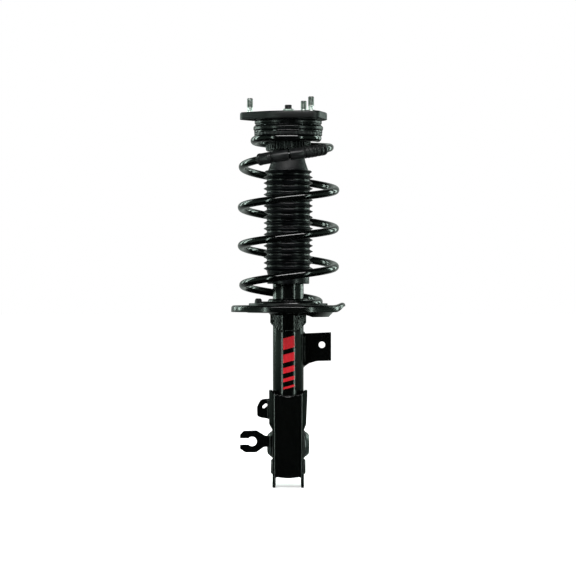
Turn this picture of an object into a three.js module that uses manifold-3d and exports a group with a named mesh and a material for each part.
// A front suspension strut assembly, ready to bolt in: upper mount with three studs, strut bearing,
// coil spring with its sleeves, dust boot, twin-tube damper, lower spring seat and knuckle bracket.
//
// Millimetres, +Z up. The origin is on the piston rod's axis, in the plane of the mount's top face,
// so nearly everything hangs below it. +X points to the stabiliser link bracket's side and +Y to the
// open side of the knuckle bracket. The strut stands at full extension, which is its rest position.

import * as THREE from "three";
import { mergeVertices } from "three/addons/utils/BufferGeometryUtils.js";
import Module from "manifold-3d";

const wasm = await Module();
wasm.setup();

// ---------------------------------------------------------------- driving dimensions

const GAP = 0.3; // between faces that touch on the real object
const FINE = 32; // segments round the large turned parts
const COARSE = 20; // segments round the small ones

// Upper mount: a pressed cover with three rounded lobes, bonded rubber and a steel sleeve.
const MOUNT = {
  discR: 64, lobeR: 16.5, studCircleR: 63.4, skirt: 12.2, sheet: 3.5, mouthR: 24, rubberR: 53.5,
  sleeveR: 12, sleeveTop: -7, sleeveBottom: -14.3,
};
const STUD_ANGLES = { left: 186, front: 306, rear: 66 }; // degrees from +X
const STUD = { r: 5, holeR: 5.3, top: 23.3, headR: 8, headT: 3 };
const NUT = { flats: 18, height: 10.5, top: 6.1 };

// Piston rod and the parts on it.
const ROD = { r: 10, threadR: 6, top: 12.9, shoulder: -17.3, pistonShoulder: -307.7, bottom: -343 };
const PISTON = { r: 15.5, top: -308, bottom: -330, ringTop: -314, ringBottom: -324 };
const BUMP = { top: -17.6, bottom: -125, r: 21.2, boreR: 10.6 };

// Strut bearing and upper spring seat, from the mount down.
const BEARING = {
  boreR: 28, upperR: 55.5, lowerR: 57.5, top: -12.9, split: -22, bottom: -30, raceR: 45, ballR: 2.4, balls: 12,
};
const UPPER_SEAT = { r: 56.5, top: -30.4, t: 2.6 };
const COLLAR = { r: 37.2, boreR: 27, bottom: -64 };

// Damper tube. The strut can shorten by 110 mm before the cap meets the bump stop.
const TUBE = { r: 25.5, wall: 2.2, top: -248, bottom: -510 };
const DECAL = { r: 25.8, t: 0.2, middle: -88.4, halfAngle: 22.5, top: -367, bottom: -456 };
const CYLINDER = { r: 17.8, boreR: 16.2, top: -276.3, bottom: -500 };

// Coil spring. Each station is a turn angle in degrees, the coil's mean radius and the height of the
// wire's centre there: closed small end turns at both ends, four open turns between them.
const WIRE_R = 6.4;
const SPRING_STATIONS = [
  [210, 50, -317.6],
  [270, 50, -317.2],
  [360, 50.5, -312.5],
  [450, 62, -301],
  [540, 74.5, -285],
  [720, 77.4, -254],
  [810, 77.4, -236.7],
  [900, 77, -220],
  [990, 77.2, -206],
  [1080, 77.4, -191],
  [1170, 77.2, -173],
  [1260, 77, -156.5],
  [1350, 77.6, -143.2],
  [1440, 78, -127.5],
  [1530, 77.3, -107.6],
  [1620, 75.5, -89.5],
  [1710, 72.3, -73],
  [1800, 68.6, -57.3],
  [1980, 55.8, -46.2],
  [2015, 54, -43.5],
  [2070, 51, -43.1],
  [2150, 50, -42.9],
];
const SLEEVE = { r: 9.7, boreR: 7.3, lower: [1671, 1710], upper: [1712, 1764.6] }; // turn angles covered

// Dust boot, from its neck in the collar to the lip round the tube.
const BOOT = {
  wall: 1.5, neckR: 26, neckTop: -46, coneTop: -72, coneR: 32, firstFold: -97.5, foldPitch: 9.4, folds: 18,
  peakR: 40.2, valleyR: 35.5, lipTop: -272, lipR: 34.7, lipBoreR: 26.3, bottom: -282.5,
};

// Lower spring seat, pressed from sheet, with a neck that fits the tube.
const SEAT = { neckR: 29.9, neckBottom: -358.5, floor: -327.3, hubTop: -306.8, rimR: 94.3 };
const PAD = { innerR: 40.5, outerR: 65, top: -324.4, lipInnerR: 61.5, lipTop: -314.5 };

// Stabiliser link bracket.
const LINK = { y: 2, t: 4.5, right: 70.8, top: -362.2, bottom: -409.4, holeX: 55.6, holeZ: -383, holeR: 5.4 };

// Knuckle bracket: a U of thick sheet, web to the front, which spreads at the top to hold the tube.
const BRACKET = {
  t: 5, outer: 26, spread: 5, webFront: -31.2, back: 46, bendR: 8, bottom: -617.5, top: -457.5,
  spreadFrom: -524, spreadTo: -512, webBottom: -602.5, webTop: -469,
};
const UPPER_BOLT = { y: 16, z: -547.6, r: 7.2, bossR: 21.8, bossFaceR: 13.2, bossT: 8.8 };
const LOWER_BOLT = { y: 16, z: -584.8, r: 6.6, padR: 11.1, padT: 2.5 };

// Brake hose fork and sensor wire tab, both bent from thin sheet.
const FORK = { y: -11, t: 3, holeX: -59.6, holeZ: -541.9, holeR: 7.8, slotHalf: 5.1, tip: -79.5 };
const TAB = { y: -8, t: 2, slotX: -38.5, slotZ: -483.5, slotHalf: 2.4, slotLength: 9.6, slotTilt: 40 };

// ---------------------------------------------------------------- geometry helpers

const radians = THREE.MathUtils.degToRad;

// A turned part from [radius, height] points that close on themselves or run from axis to axis.
function turned(points, segments = FINE) {
  const outline = points.map(([r, z]) => new THREE.Vector2(r, z));
  if (THREE.ShapeUtils.area(outline) < 0) outline.reverse();
  const startsOnAxis = outline[0].x === 0 && outline.at(-1).x === 0;
  if (!startsOnAxis) outline.push(outline[0].clone());
  return new THREE.LatheGeometry(outline, segments).rotateX(Math.PI / 2);
}

function ring(innerR, outerR, bottom, top, segments = FINE) {
  return turned([[innerR, bottom], [outerR, bottom], [outerR, top], [innerR, top]], segments);
}

function disc(r, bottom, top, segments = COARSE) {
  return turned([[0, bottom], [r, bottom], [r, top], [0, top]], segments);
}

// A flat plate whose shape is drawn in (x, z) and which runs from y to y + thickness.
function frontPlate(shape, y, thickness, curveSegments = 8) {
  const made = new THREE.ExtrudeGeometry(shape, { depth: thickness, bevelEnabled: false, curveSegments });
  return made.rotateX(Math.PI / 2).translate(0, y + thickness, 0);
}

// A flat plate whose shape is drawn in (y, z) and which runs from x to x + thickness.
function sidePlate(shape, x, thickness, curveSegments = 8) {
  const made = new THREE.ExtrudeGeometry(shape, { depth: thickness, bevelEnabled: false, curveSegments });
  return made.rotateX(Math.PI / 2).rotateZ(Math.PI / 2).translate(x, 0, 0);
}

function box(x0, x1, y0, y1, z0, z1) {
  return new THREE.BoxGeometry(x1 - x0, y1 - y0, z1 - z0).translate((x0 + x1) / 2, (y0 + y1) / 2, (z0 + z1) / 2);
}

// A round bar along X, Y or Z, used for drilling and for bosses.
function bar(axis, r, from, to, centre, segments = COARSE, endR = r) {
  const made = new THREE.CylinderGeometry(endR, r, to - from, segments).translate(0, (from + to) / 2, 0);
  if (axis === "x") return made.rotateZ(-Math.PI / 2).translate(0, centre[0], centre[1]);
  if (axis === "y") return made.translate(centre[0], 0, centre[1]);
  return made.rotateX(Math.PI / 2).translate(centre[0], centre[1], 0);
}

function polygon(points) {
  return new THREE.Shape(points.map(([x, y]) => new THREE.Vector2(x, y)));
}

function solid(geometry) {
  const bare = geometry.clone();
  bare.deleteAttribute("normal");
  bare.deleteAttribute("uv");
  const merged = mergeVertices(bare, 1e-4);
  const vertProperties = new Float32Array(merged.getAttribute("position").array);
  const triVerts = new Uint32Array(merged.index.array);
  return new wasm.Manifold(new wasm.Mesh({ numProp: 3, vertProperties, triVerts }));
}

function geometryOf(made) {
  const mesh = made.getMesh();
  const geometry = new THREE.BufferGeometry();
  geometry.setAttribute("position", new THREE.BufferAttribute(mesh.vertProperties, 3));
  geometry.setIndex(new THREE.BufferAttribute(mesh.triVerts, 1));
  return geometry;
}

const cut = (body, ...tools) => geometryOf(tools.reduce((left, tool) => left.subtract(solid(tool)), solid(body)));
const join = (...bodies) => geometryOf(bodies.map(solid).reduce((all, one) => all.add(one)));
const common = (a, b) => geometryOf(solid(a).intersect(solid(b)));

// ---------------------------------------------------------------- colours

const paint = (color, roughness, metalness = 0) => new THREE.MeshStandardMaterial({ color, roughness, metalness });
const BLACK_PAINT = paint(0x0b0c0c, 0.25);
const SPRING_COAT = paint(0x0c0e0d, 0.2);
const RUBBER = paint(0x151516, 0.7);
const BOOT_RUBBER = paint(0x101214, 0.55);
const PLASTIC = paint(0x191b1c, 0.5);
const ZINC = paint(0xc9ccce, 0.3, 1);
const BRIGHT_STEEL = paint(0xb5b8ba, 0.2, 1);
const FOAM = paint(0xb9a878, 0.8);
const RED_FILM = paint(0xd8121c, 0.35);

// ---------------------------------------------------------------- the parts

const strut = new THREE.Group();

function piece(name, geometry, material) {
  const mesh = new THREE.Mesh(geometry, material);
  mesh.name = name;
  strut.add(mesh);
}

// Outline of the mount cover: a disc with three lobes round the studs, joined by straight tangents.
function mountOutline(inset) {
  const discR = MOUNT.discR - inset;
  const lobeR = MOUNT.lobeR - inset;
  const half = Math.acos((discR - lobeR) / MOUNT.studCircleR);
  const outline = new THREE.Shape();
  const angles = Object.values(STUD_ANGLES).map(radians).sort((a, b) => a - b);
  angles.forEach((angle, i) => {
    const next = i + 1 < angles.length ? angles[i + 1] : angles[0] + 2 * Math.PI;
    const [x, y] = [MOUNT.studCircleR * Math.cos(angle), MOUNT.studCircleR * Math.sin(angle)];
    outline.absarc(x, y, lobeR, angle - half, angle + half, false);
    outline.absarc(0, 0, discR, angle + half, next - half, false);
  });
  return outline;
}

function mountPlate() {
  const depth = (shape, height) =>
    new THREE.ExtrudeGeometry(shape, { depth: height, bevelEnabled: false, curveSegments: 7 });
  const cover = depth(mountOutline(0), MOUNT.skirt).translate(0, 0, -MOUNT.skirt);
  const hollowHeight = MOUNT.skirt - MOUNT.sheet;
  const hollow = depth(mountOutline(MOUNT.sheet), hollowHeight + 1).translate(0, 0, -MOUNT.skirt - 1);
  const mouth = bar("z", MOUNT.mouthR, -MOUNT.skirt, 1, [0, 0], FINE);
  const drills = Object.values(STUD_ANGLES).map((angle) => bar("z", STUD.holeR, -MOUNT.skirt, 1, studPlace(angle)));
  return cut(cover, hollow, mouth, ...drills);
}

function studPlace(angle) {
  return [MOUNT.studCircleR * Math.cos(radians(angle)), MOUNT.studCircleR * Math.sin(radians(angle))];
}

function stud(angle) {
  const headTop = -MOUNT.sheet - GAP;
  const profile = [
    [0, headTop - STUD.headT], [STUD.headR, headTop - STUD.headT], [STUD.headR, headTop],
    [STUD.r, headTop], [STUD.r, STUD.top - 1.2], [STUD.r - 1.2, STUD.top], [0, STUD.top],
  ];
  return turned(profile, 16).translate(...studPlace(angle), 0);
}

function mountRubber() {
  const top = -MOUNT.sheet - GAP;
  const bottom = -MOUNT.skirt - GAP;
  const bore = MOUNT.sleeveR + GAP;
  return turned([
    [bore, MOUNT.sleeveBottom + 1], [bore + 8, bottom], [MOUNT.rubberR, bottom], [MOUNT.rubberR, top],
    [MOUNT.mouthR - 1, top], [MOUNT.mouthR - 4, MOUNT.sleeveTop], [bore, MOUNT.sleeveTop],
  ]);
}

function hexNut(flats, bottom, top, boreR) {
  const circumR = flats / 2 / Math.cos(Math.PI / 6);
  const body = new THREE.CylinderGeometry(circumR, circumR, top - bottom, 6).rotateX(Math.PI / 2);
  return cut(body.translate(0, 0, (top + bottom) / 2), bar("z", boreR, bottom - 1, top + 1, [0, 0]));
}

for (const [place, angle] of Object.entries(STUD_ANGLES)) piece(`stud_${place}`, stud(angle), ZINC);
piece("mount_plate", mountPlate(), BLACK_PAINT);
piece("mount_rubber", mountRubber(), RUBBER);
piece(
  "mount_sleeve",
  ring(ROD.threadR + GAP, MOUNT.sleeveR, MOUNT.sleeveBottom, MOUNT.sleeveTop, COARSE),
  BRIGHT_STEEL,
);
const washerTop = NUT.top - NUT.height - GAP;
piece("rod_washer", ring(ROD.threadR + GAP, 15, MOUNT.sleeveTop + GAP, washerTop, COARSE), ZINC);
piece("rod_nut", hexNut(NUT.flats, washerTop + GAP, NUT.top, ROD.threadR + GAP), ZINC);

// Rod, piston and bump stop, which hang from the mount.
piece(
  "piston_rod",
  turned(
    [
      [0, ROD.bottom], [ROD.threadR, ROD.bottom], [ROD.threadR, ROD.pistonShoulder],
      [ROD.r, ROD.pistonShoulder], [ROD.r, ROD.shoulder - 1], [ROD.r - 1, ROD.shoulder],
      [ROD.threadR, ROD.shoulder], [ROD.threadR, ROD.top - 1], [ROD.threadR - 1, ROD.top], [0, ROD.top],
    ],
    COARSE,
  ),
  BRIGHT_STEEL,
);
const ringGrooveR = PISTON.r - 2;
piece(
  "piston",
  turned(
    [
      [ROD.threadR + GAP, PISTON.bottom], [PISTON.r, PISTON.bottom], [PISTON.r, PISTON.ringBottom],
      [ringGrooveR, PISTON.ringBottom], [ringGrooveR, PISTON.ringTop], [PISTON.r, PISTON.ringTop],
      [PISTON.r, PISTON.top], [ROD.threadR + GAP, PISTON.top],
    ],
    COARSE,
  ),
  BRIGHT_STEEL,
);
piece(
  "piston_ring",
  ring(ringGrooveR + GAP, CYLINDER.boreR - GAP, PISTON.ringBottom + GAP, PISTON.ringTop - GAP, COARSE),
  PLASTIC,
);
piece("piston_nut", hexNut(18, PISTON.bottom - 10, PISTON.bottom - GAP, ROD.threadR + GAP), ZINC);
piece("rebound_stop", ring(ROD.r + GAP, 14, CYLINDER.top - 14, CYLINDER.top - GAP, COARSE), PLASTIC);
piece(
  "bump_stop_cup",
  turned([
    [ROD.threadR + GAP, ROD.shoulder + GAP], [BUMP.r + GAP, ROD.shoulder + GAP], [BUMP.r + GAP, -58],
    [BUMP.r + 2, -58], [BUMP.r + 2, MOUNT.sleeveBottom - GAP], [ROD.threadR + GAP, MOUNT.sleeveBottom - GAP],
  ]),
  BLACK_PAINT,
);

// A foam block with three waists, which lets it crumple from the bottom up.
function bumpStop() {
  const profile = [[BUMP.boreR, BUMP.top - 0.4], [BUMP.boreR, BUMP.bottom], [BUMP.r - 5, BUMP.bottom]];
  const waists = 3;
  const waistPitch = 21;
  for (let i = 0; i < waists; i++) {
    const z = BUMP.bottom + 6 + i * waistPitch;
    profile.push([BUMP.r - 3 + i, z], [BUMP.r - 3 + i, z + 9], [BUMP.r - 6 + i, z + 14]);
  }
  profile.push([BUMP.r, -60], [BUMP.r, BUMP.top - 0.4]);
  return turned(profile, COARSE);
}
piece("bump_stop", bumpStop(), FOAM);

// Strut bearing: two plastic cases with a ring of caged balls running between them.
const raceHalf = BEARING.ballR + 0.5;
const caseSplit = GAP; // half of the slit between the two cases
piece(
  "bearing_upper_case",
  turned([
    [BEARING.boreR, BEARING.split + caseSplit], [BEARING.raceR - raceHalf, BEARING.split + caseSplit],
    [BEARING.raceR - raceHalf, BEARING.split + 3.2], [BEARING.raceR + raceHalf, BEARING.split + 3.2],
    [BEARING.raceR + raceHalf, BEARING.split + caseSplit], [BEARING.upperR, BEARING.split + caseSplit],
    [BEARING.upperR, BEARING.top - 2], [BEARING.upperR - 2, BEARING.top], [BEARING.boreR, BEARING.top],
  ]),
  PLASTIC,
);
piece(
  "bearing_lower_case",
  turned([
    [BEARING.boreR, BEARING.bottom], [BEARING.lowerR, BEARING.bottom], [BEARING.lowerR, BEARING.split - caseSplit],
    [BEARING.raceR + raceHalf, BEARING.split - caseSplit], [BEARING.raceR + raceHalf, BEARING.split - 3.2],
    [BEARING.raceR - raceHalf, BEARING.split - 3.2], [BEARING.raceR - raceHalf, BEARING.split - caseSplit],
    [BEARING.boreR, BEARING.split - caseSplit],
  ]),
  PLASTIC,
);

function ballRing() {
  const cage = ring(BEARING.raceR - 1.6, BEARING.raceR + 1.6, BEARING.split - 0.8, BEARING.split + 0.8, 24);
  const balls = [];
  for (let i = 0; i < BEARING.balls; i++) {
    const angle = (i * 2 * Math.PI) / BEARING.balls;
    const ball = new THREE.SphereGeometry(BEARING.ballR, 6, 4);
    balls.push(ball.translate(BEARING.raceR * Math.cos(angle), BEARING.raceR * Math.sin(angle), BEARING.split));
  }
  return join(cage, ...balls);
}
piece("bearing_balls", ballRing(), BRIGHT_STEEL);

// Upper spring seat, its rubber ring and the boot's collar turn with the spring.
const seatUnder = UPPER_SEAT.top - UPPER_SEAT.t;
piece(
  "upper_spring_seat",
  turned([
    [COLLAR.boreR + 1, seatUnder], [UPPER_SEAT.r, seatUnder], [UPPER_SEAT.r, UPPER_SEAT.top],
    [COLLAR.boreR + 1, UPPER_SEAT.top],
  ]),
  BLACK_PAINT,
);
const isolatorUnder = -36.2;
piece(
  "upper_isolator",
  turned([
    [39, seatUnder - GAP], [39, -47], [41.5, -47], [43, isolatorUnder], [UPPER_SEAT.r - 0.5, isolatorUnder],
    [UPPER_SEAT.r - 0.5, seatUnder - GAP],
  ]),
  RUBBER,
);
piece(
  "boot_collar",
  turned([
    [COLLAR.boreR, COLLAR.bottom], [COLLAR.r - 2, COLLAR.bottom], [COLLAR.r, COLLAR.bottom + 2],
    [COLLAR.r, seatUnder - GAP], [COLLAR.boreR, seatUnder - GAP],
  ]),
  PLASTIC,
);

// Smooth value between two neighbouring stations (a cubic with slopes taken across the neighbours).
function stationValue(angle, column) {
  const s = SPRING_STATIONS;
  let i = 0;
  while (i < s.length - 2 && angle > s[i + 1][0]) i++;
  const slope = (k) => {
    const [a, b] = [s[Math.max(k - 1, 0)], s[Math.min(k + 1, s.length - 1)]];
    return (b[column] - a[column]) / (b[0] - a[0]);
  };
  const span = s[i + 1][0] - s[i][0];
  const t = (angle - s[i][0]) / span;
  const [t2, t3] = [t * t, t * t * t];
  return (
    (2 * t3 - 3 * t2 + 1) * s[i][column] + (t3 - 2 * t2 + t) * span * slope(i) +
    (3 * t2 - 2 * t3) * s[i + 1][column] + (t3 - t2) * span * slope(i + 1)
  );
}

// The wire's centre line between two turn angles.
class SpringLine extends THREE.Curve {
  constructor(from, to) {
    super();
    this.from = from;
    this.to = to;
    this.arcLengthDivisions = Math.ceil((to - from) / 3);
  }
  getPoint(t, target = new THREE.Vector3()) {
    const angle = this.from + (this.to - this.from) * t;
    const r = stationValue(angle, 1);
    return target.set(r * Math.cos(radians(angle)), r * Math.sin(radians(angle)), stationValue(angle, 2));
  }
}

function alongSpring(from, to, outerR, boreR, stepDegrees, sides) {
  const section = new THREE.Shape().absarc(0, 0, outerR, 0, 2 * Math.PI);
  if (boreR) section.holes.push(new THREE.Path().absarc(0, 0, boreR, 0, 2 * Math.PI, true));
  const steps = Math.ceil((to - from) / stepDegrees);
  const curveSegments = sides / 2; // a full circle gets twice as many points as this
  return new THREE.ExtrudeGeometry(section, { steps, extrudePath: new SpringLine(from, to), curveSegments });
}

const [springStart, springEnd] = [SPRING_STATIONS[0][0], SPRING_STATIONS.at(-1)[0]];
piece("coil_spring", alongSpring(springStart, springEnd, WIRE_R, 0, 15, 10), SPRING_COAT);
for (const part of ["lower", "upper"])
  piece(`spring_sleeve_${part}`, alongSpring(...SLEEVE[part], SLEEVE.r, SLEEVE.boreR, 8, 12), RUBBER);

// Dust boot: a neck, a cone, the folds and a lip round the tube.
function dustBoot() {
  const profile = [[BOOT.neckR, BOOT.neckTop], [BOOT.neckR, BOOT.coneTop], [BOOT.coneR, BOOT.firstFold + 4]];
  for (let i = 0; i < BOOT.folds; i++) {
    const endFold = i === 0 || i === BOOT.folds - 1;
    const z = BOOT.firstFold - i * BOOT.foldPitch;
    profile.push([BOOT.peakR - (endFold ? 2 : 0), z], [BOOT.valleyR, z - BOOT.foldPitch / 2]);
  }
  const innerR = BOOT.valleyR - BOOT.wall;
  profile.push(
    [BOOT.lipR - 1.2, BOOT.lipTop + 3], [BOOT.lipR, BOOT.lipTop], [BOOT.lipR, BOOT.bottom],
    [BOOT.lipBoreR, BOOT.bottom], [BOOT.lipBoreR, BOOT.bottom + 4], [innerR - 1, BOOT.lipTop + 3],
    [innerR, BOOT.lipTop + 12], [innerR, BOOT.firstFold - BOOT.foldPitch], [BOOT.coneR - BOOT.wall, BOOT.firstFold + 4],
    [BOOT.neckR - BOOT.wall, BOOT.coneTop], [BOOT.neckR - BOOT.wall, BOOT.neckTop],
  );
  return turned(profile, COARSE);
}
piece("dust_boot", dustBoot(), BOOT_RUBBER);

// ---------------------------------------------------------------- damper tube and what it holds

const tubeBore = TUBE.r - TUBE.wall;
piece(
  "strut_tube",
  turned([
    [0, TUBE.bottom - 1.5], [TUBE.r - 8, TUBE.bottom - 1], [TUBE.r, TUBE.bottom + 4], [TUBE.r, TUBE.top],
    [tubeBore, TUBE.top], [tubeBore, TUBE.bottom + 5], [0, TUBE.bottom + 2.5],
  ]),
  BLACK_PAINT,
);
// A thin printed film stuck round the front of the tube.
function tubeDecal() {
  const [from, to] = [radians(DECAL.middle - DECAL.halfAngle), radians(DECAL.middle + DECAL.halfAngle)];
  const section = new THREE.Shape();
  section.absarc(0, 0, DECAL.r + DECAL.t, from, to, false);
  section.absarc(0, 0, DECAL.r, to, from, true);
  const depth = DECAL.top - DECAL.bottom;
  const film = new THREE.ExtrudeGeometry(section, { depth, bevelEnabled: false, curveSegments: 6 });
  return film.translate(0, 0, DECAL.bottom);
}
piece("tube_decal", tubeDecal(), RED_FILM);
piece(
  "tube_cap",
  turned([
    [TUBE.r + GAP, TUBE.top - 14], [TUBE.r + 2, TUBE.top - 14], [TUBE.r + 2, TUBE.top + 6], [TUBE.r, TUBE.top + 8],
    [ROD.r + 3, TUBE.top + 8], [ROD.r + 3, TUBE.top + GAP], [TUBE.r + GAP, TUBE.top + GAP],
  ]),
  PLASTIC,
);
piece("rod_seal", ring(ROD.r + GAP, tubeBore - GAP, TUBE.top - 8, TUBE.top - 1, COARSE), RUBBER);
piece(
  "rod_guide",
  turned(
    [
      [ROD.r + GAP, CYLINDER.top + GAP], [tubeBore - GAP, CYLINDER.top + GAP], [tubeBore - GAP, TUBE.top - 8 - GAP],
      [ROD.r + GAP, TUBE.top - 8 - GAP],
    ],
    COARSE,
  ),
  BRIGHT_STEEL,
);
piece("pressure_cylinder", ring(CYLINDER.boreR, CYLINDER.r, CYLINDER.bottom, CYLINDER.top, 32), BRIGHT_STEEL);
piece(
  "base_valve",
  turned(
    [
      [0, TUBE.bottom + 3], [tubeBore - 4, TUBE.bottom + 5.3], [tubeBore - 4, CYLINDER.bottom - GAP],
      [CYLINDER.boreR - GAP, CYLINDER.bottom - GAP], [CYLINDER.boreR - GAP, CYLINDER.bottom + 5],
      [0, CYLINDER.bottom + 5],
    ],
    COARSE,
  ),
  BRIGHT_STEEL,
);

// Lower spring seat: neck round the tube, hub, flat floor under the end turn, turned-down rim.
function lowerSeat() {
  const pan = turned(
    [
      [25.8, SEAT.neckBottom], [SEAT.neckR, SEAT.neckBottom], [SEAT.neckR, -318], [30.6, -314.5], [33.2, -323],
      [37.6, SEAT.floor - 2.8], [67, SEAT.floor - 2.8], [73, -327.4], [86.8, -322.8], [90, -321.6],
      [91.5, -322.6], [91.5, -329.5], [SEAT.rimR, -329.5], [SEAT.rimR, -321.5], [91.5, -318.6], [86, -320],
      [72, -324.6], [66, SEAT.floor], [39.5, SEAT.floor], [36.5, -322], [33.5, SEAT.hubTop - 2.2],
      [30.5, SEAT.hubTop], [27.2, SEAT.hubTop - 1], [25.8, SEAT.hubTop - 3.7],
    ],
    40,
  );
  const notch = { r: 15, z: -362 }; // lifts the neck's lower edge at the two sides
  return cut(pan, bar("x", notch.r, 20, 40, [0, notch.z]), bar("x", notch.r, -40, -20, [0, notch.z]));
}
piece("lower_spring_seat", lowerSeat(), BLACK_PAINT);

// Rubber channel under the end turn, with a stop that the wire's cut end rests against.
function lowerIsolator() {
  const channel = turned([
    [PAD.innerR, SEAT.floor + GAP], [PAD.outerR - 1, SEAT.floor + GAP], [PAD.outerR, SEAT.floor + 4],
    [PAD.outerR, PAD.lipTop], [PAD.lipInnerR, PAD.lipTop], [PAD.lipInnerR, PAD.top], [PAD.innerR, PAD.top],
  ]);
  const stopAngle = radians(springStart - 11);
  const stop = box(-8, 8, -4, 4, PAD.top - 1, -306.3).rotateZ(stopAngle);
  stop.translate(52 * Math.cos(stopAngle), 52 * Math.sin(stopAngle), 0);
  return join(channel, stop);
}
piece("lower_isolator", lowerIsolator(), RUBBER);

// ---------------------------------------------------------------- brackets on the tube

function linkBracket() {
  const strapTop = LINK.top - 1.7;
  const strapBottom = LINK.bottom - 8.6;
  const plate = new THREE.Shape();
  plate.moveTo(24, strapTop);
  plate.lineTo(24, strapBottom);
  plate.lineTo(27, strapBottom);
  plate.quadraticCurveTo(31, LINK.bottom - 1, 45, LINK.bottom - 0.5);
  plate.lineTo(LINK.right, LINK.bottom);
  plate.lineTo(LINK.right, LINK.top);
  plate.closePath();
  plate.holes.push(new THREE.Path().absarc(LINK.holeX, LINK.holeZ, LINK.holeR, 0, 2 * Math.PI, true));
  const strap = new THREE.Shape();
  const from = Math.asin((LINK.y + 0.02) / (TUBE.r + GAP)); // no part of the strap stands proud of the plate
  const to = radians(68);
  strap.absarc(0, 0, TUBE.r + GAP + LINK.t, from, to, false);
  strap.absarc(0, 0, TUBE.r + GAP, to, from, true);
  const depth = strapTop - strapBottom;
  const wrap = new THREE.ExtrudeGeometry(strap, { depth, bevelEnabled: false, curveSegments: 10 });
  const bore = bar("z", TUBE.r + GAP, strapBottom - 5, strapTop + 5, [0, 0], 48);
  return cut(join(frontPlate(plate, LINK.y, LINK.t, 10), wrap.translate(0, 0, strapBottom)), bore);
}
piece("link_bracket", linkBracket(), BLACK_PAINT);

// Knuckle bracket: a U section drawn from above, raised in four levels so its sides can spread.
function knuckleBracket() {
  const { t, outer, webFront, back, bendR } = BRACKET;
  const inner = outer - t;
  const section = new THREE.Shape();
  section.moveTo(-outer, back);
  section.absarc(-outer + bendR, webFront + bendR, bendR, Math.PI, 1.5 * Math.PI, false);
  section.absarc(outer - bendR, webFront + bendR, bendR, 1.5 * Math.PI, 2 * Math.PI, false);
  section.lineTo(outer, back);
  section.lineTo(inner, back);
  section.absarc(inner - 3, webFront + t + 3, 3, 0, -Math.PI / 2, true);
  section.absarc(-inner + 3, webFront + t + 3, 3, -Math.PI / 2, -Math.PI, true);
  section.lineTo(-inner, back);
  const levels = [BRACKET.bottom, BRACKET.spreadFrom, BRACKET.spreadTo, BRACKET.top];
  const steps = levels.length - 1;
  const u = new THREE.ExtrudeGeometry(section, { depth: steps, steps, bevelEnabled: false, curveSegments: 5 });
  const place = u.getAttribute("position");
  for (let i = 0; i < place.count; i++) {
    const level = Math.round(place.getZ(i));
    const spread = level >= 2 ? BRACKET.spread : 0;
    place.setX(i, place.getX(i) + Math.sign(place.getX(i)) * spread);
    place.setZ(i, levels[level]);
  }
  const side = new THREE.Shape();
  side.moveTo(-40, BRACKET.top + 1);
  side.lineTo(-40, BRACKET.bottom + 12);
  side.lineTo(-26, BRACKET.bottom);
  side.absarc(back - 10, BRACKET.bottom + 10, 10, 1.5 * Math.PI, 2 * Math.PI, false);
  side.lineTo(back, -548);
  side.lineTo(26, -512);
  side.absarc(20, BRACKET.top - 6, 6, 0, Math.PI / 2, false);
  const outline = sidePlate(side, -50, 100, 6);
  const webFoot = box(-inner, inner, -40, -15, BRACKET.bottom - 1, BRACKET.webBottom);
  const webHead = box(-outer + 1, outer - 1, -40, -15, BRACKET.webTop, BRACKET.top + 2);
  const drills = [UPPER_BOLT, LOWER_BOLT].map((bolt) => bar("x", bolt.r, -50, 50, [bolt.y, bolt.z]));
  return cut(common(u, outline), webFoot, webHead, ...drills);
}
piece("knuckle_bracket", knuckleBracket(), BLACK_PAINT);

// Conical bosses at the upper bolt and flat pads at the lower one, on the outer faces.
for (const [place, hand] of [["left", -1], ["right", 1]]) {
  const face = BRACKET.outer + GAP;
  const [bossEnd, padEnd] = [face + UPPER_BOLT.bossT, face + LOWER_BOLT.padT];
  const atUpper = [UPPER_BOLT.y, UPPER_BOLT.z];
  const atLower = [LOWER_BOLT.y, LOWER_BOLT.z];
  const boss = bar("x", UPPER_BOLT.bossR, face, bossEnd, atUpper, 32, UPPER_BOLT.bossFaceR);
  const pad = bar("x", LOWER_BOLT.padR, face, padEnd, atLower);
  const bossRing = cut(boss, bar("x", UPPER_BOLT.r, face - 1, bossEnd + 1, atUpper));
  const padRing = cut(pad, bar("x", LOWER_BOLT.r, face - 1, padEnd + 1, atLower));
  if (hand < 0) for (const one of [bossRing, padRing]) one.rotateZ(Math.PI).translate(0, 2 * UPPER_BOLT.y, 0);
  piece(`upper_bolt_boss_${place}`, bossRing, BLACK_PAINT);
  piece(`lower_bolt_pad_${place}`, padRing, BLACK_PAINT);
}

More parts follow.
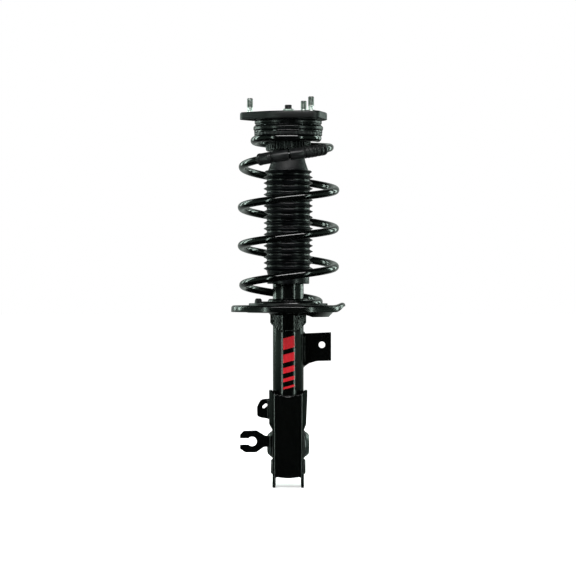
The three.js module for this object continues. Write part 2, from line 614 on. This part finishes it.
// Brake hose fork: an open-ended slot for the hose's grommet, on a foot against the left side.
function hoseFork() {
  const { holeX, holeZ, holeR, slotHalf, tip } = FORK;
  const mouth = Math.asin(slotHalf / holeR);
  const outline = new THREE.Shape();
  outline.moveTo(tip, holeZ + slotHalf);
  outline.lineTo(tip, holeZ + 10);
  outline.lineTo(tip + 6, holeZ + 17.5);
  outline.lineTo(-52, holeZ + 18.2);
  outline.quadraticCurveTo(-46, holeZ + 10, -38, holeZ + 9.5);
  outline.lineTo(-29, holeZ + 9.5);
  outline.lineTo(-29, holeZ - 9);
  outline.lineTo(-40, holeZ - 9);
  outline.quadraticCurveTo(-46, holeZ - 16.5, -53, holeZ - 18);
  outline.lineTo(tip + 9, holeZ - 18.2);
  outline.lineTo(tip, holeZ - 12);
  outline.lineTo(tip, holeZ - slotHalf);
  outline.absarc(holeX, holeZ, holeR, Math.PI + mouth, Math.PI - mouth, false);
  const face = -BRACKET.outer - GAP;
  const foot = box(face - FORK.t, face, FORK.y - 13, FORK.y + FORK.t, holeZ - 9, holeZ + 9.5);
  return join(frontPlate(outline, FORK.y, FORK.t, 8), foot);
}
piece("hose_fork", hoseFork(), BLACK_PAINT);

// Sensor wire tab: a D-shaped ear with a slanting slot, on a foot higher up the same side.
function wireTab() {
  const face = -BRACKET.outer - BRACKET.spread - GAP;
  const outline = new THREE.Shape();
  outline.moveTo(face - 1, -471.5);
  outline.quadraticCurveTo(-51.2, -472, -51.5, -492);
  outline.lineTo(-51, -496);
  outline.quadraticCurveTo(-50.5, -501, -46, -502);
  outline.lineTo(face - 1, -504.8);
  const [tilt, reach] = [radians(TAB.slotTilt), TAB.slotLength / 2 - TAB.slotHalf];
  const [dx, dz] = [reach * Math.cos(tilt), reach * Math.sin(tilt)];
  const slot = new THREE.Path();
  slot.absarc(TAB.slotX + dx, TAB.slotZ + dz, TAB.slotHalf, tilt - Math.PI / 2, tilt + Math.PI / 2, false);
  slot.absarc(TAB.slotX - dx, TAB.slotZ - dz, TAB.slotHalf, tilt + Math.PI / 2, tilt + 1.5 * Math.PI, false);
  outline.holes.push(slot);
  const foot = box(face - TAB.t, face, TAB.y - 13, TAB.y + TAB.t, -502, -473);
  return join(frontPlate(outline, TAB.y, TAB.t, 6), foot);
}
piece("wire_tab", wireTab(), BLACK_PAINT);

export default strut;
